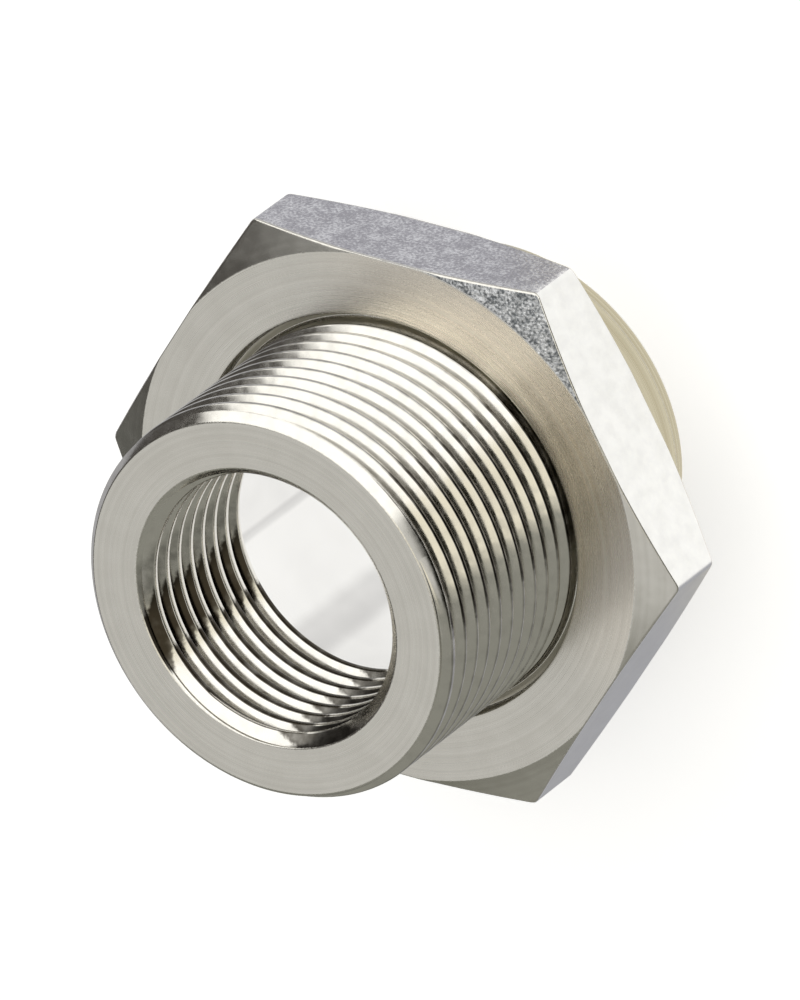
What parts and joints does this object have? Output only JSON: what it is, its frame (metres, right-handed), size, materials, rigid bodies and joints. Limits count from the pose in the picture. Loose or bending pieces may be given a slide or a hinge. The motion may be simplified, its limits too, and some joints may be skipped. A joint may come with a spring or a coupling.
{
  "type": "hex bushing",
  "caption": "Hex bushing that joins tubes and threaded pipes: a male-threaded boss with a female thread inside, a thin hexagonal flange and a plain rear boss with a smooth bore.",
  "frame": {"origin": "centre of the rear end face, on which the part stands", "axes": "+Z along the bore axis towards the male-threaded end, Y square to two flats of the hexagon"},
  "size_m": [0.0438, 0.038, 0.0315],
  "materials": {
    "nickel_plated_brass": "gloss"
  },
  "bodies": {
    "root": {"bushing_body": "nickel_plated_brass"}
  },
  "joints": []
}
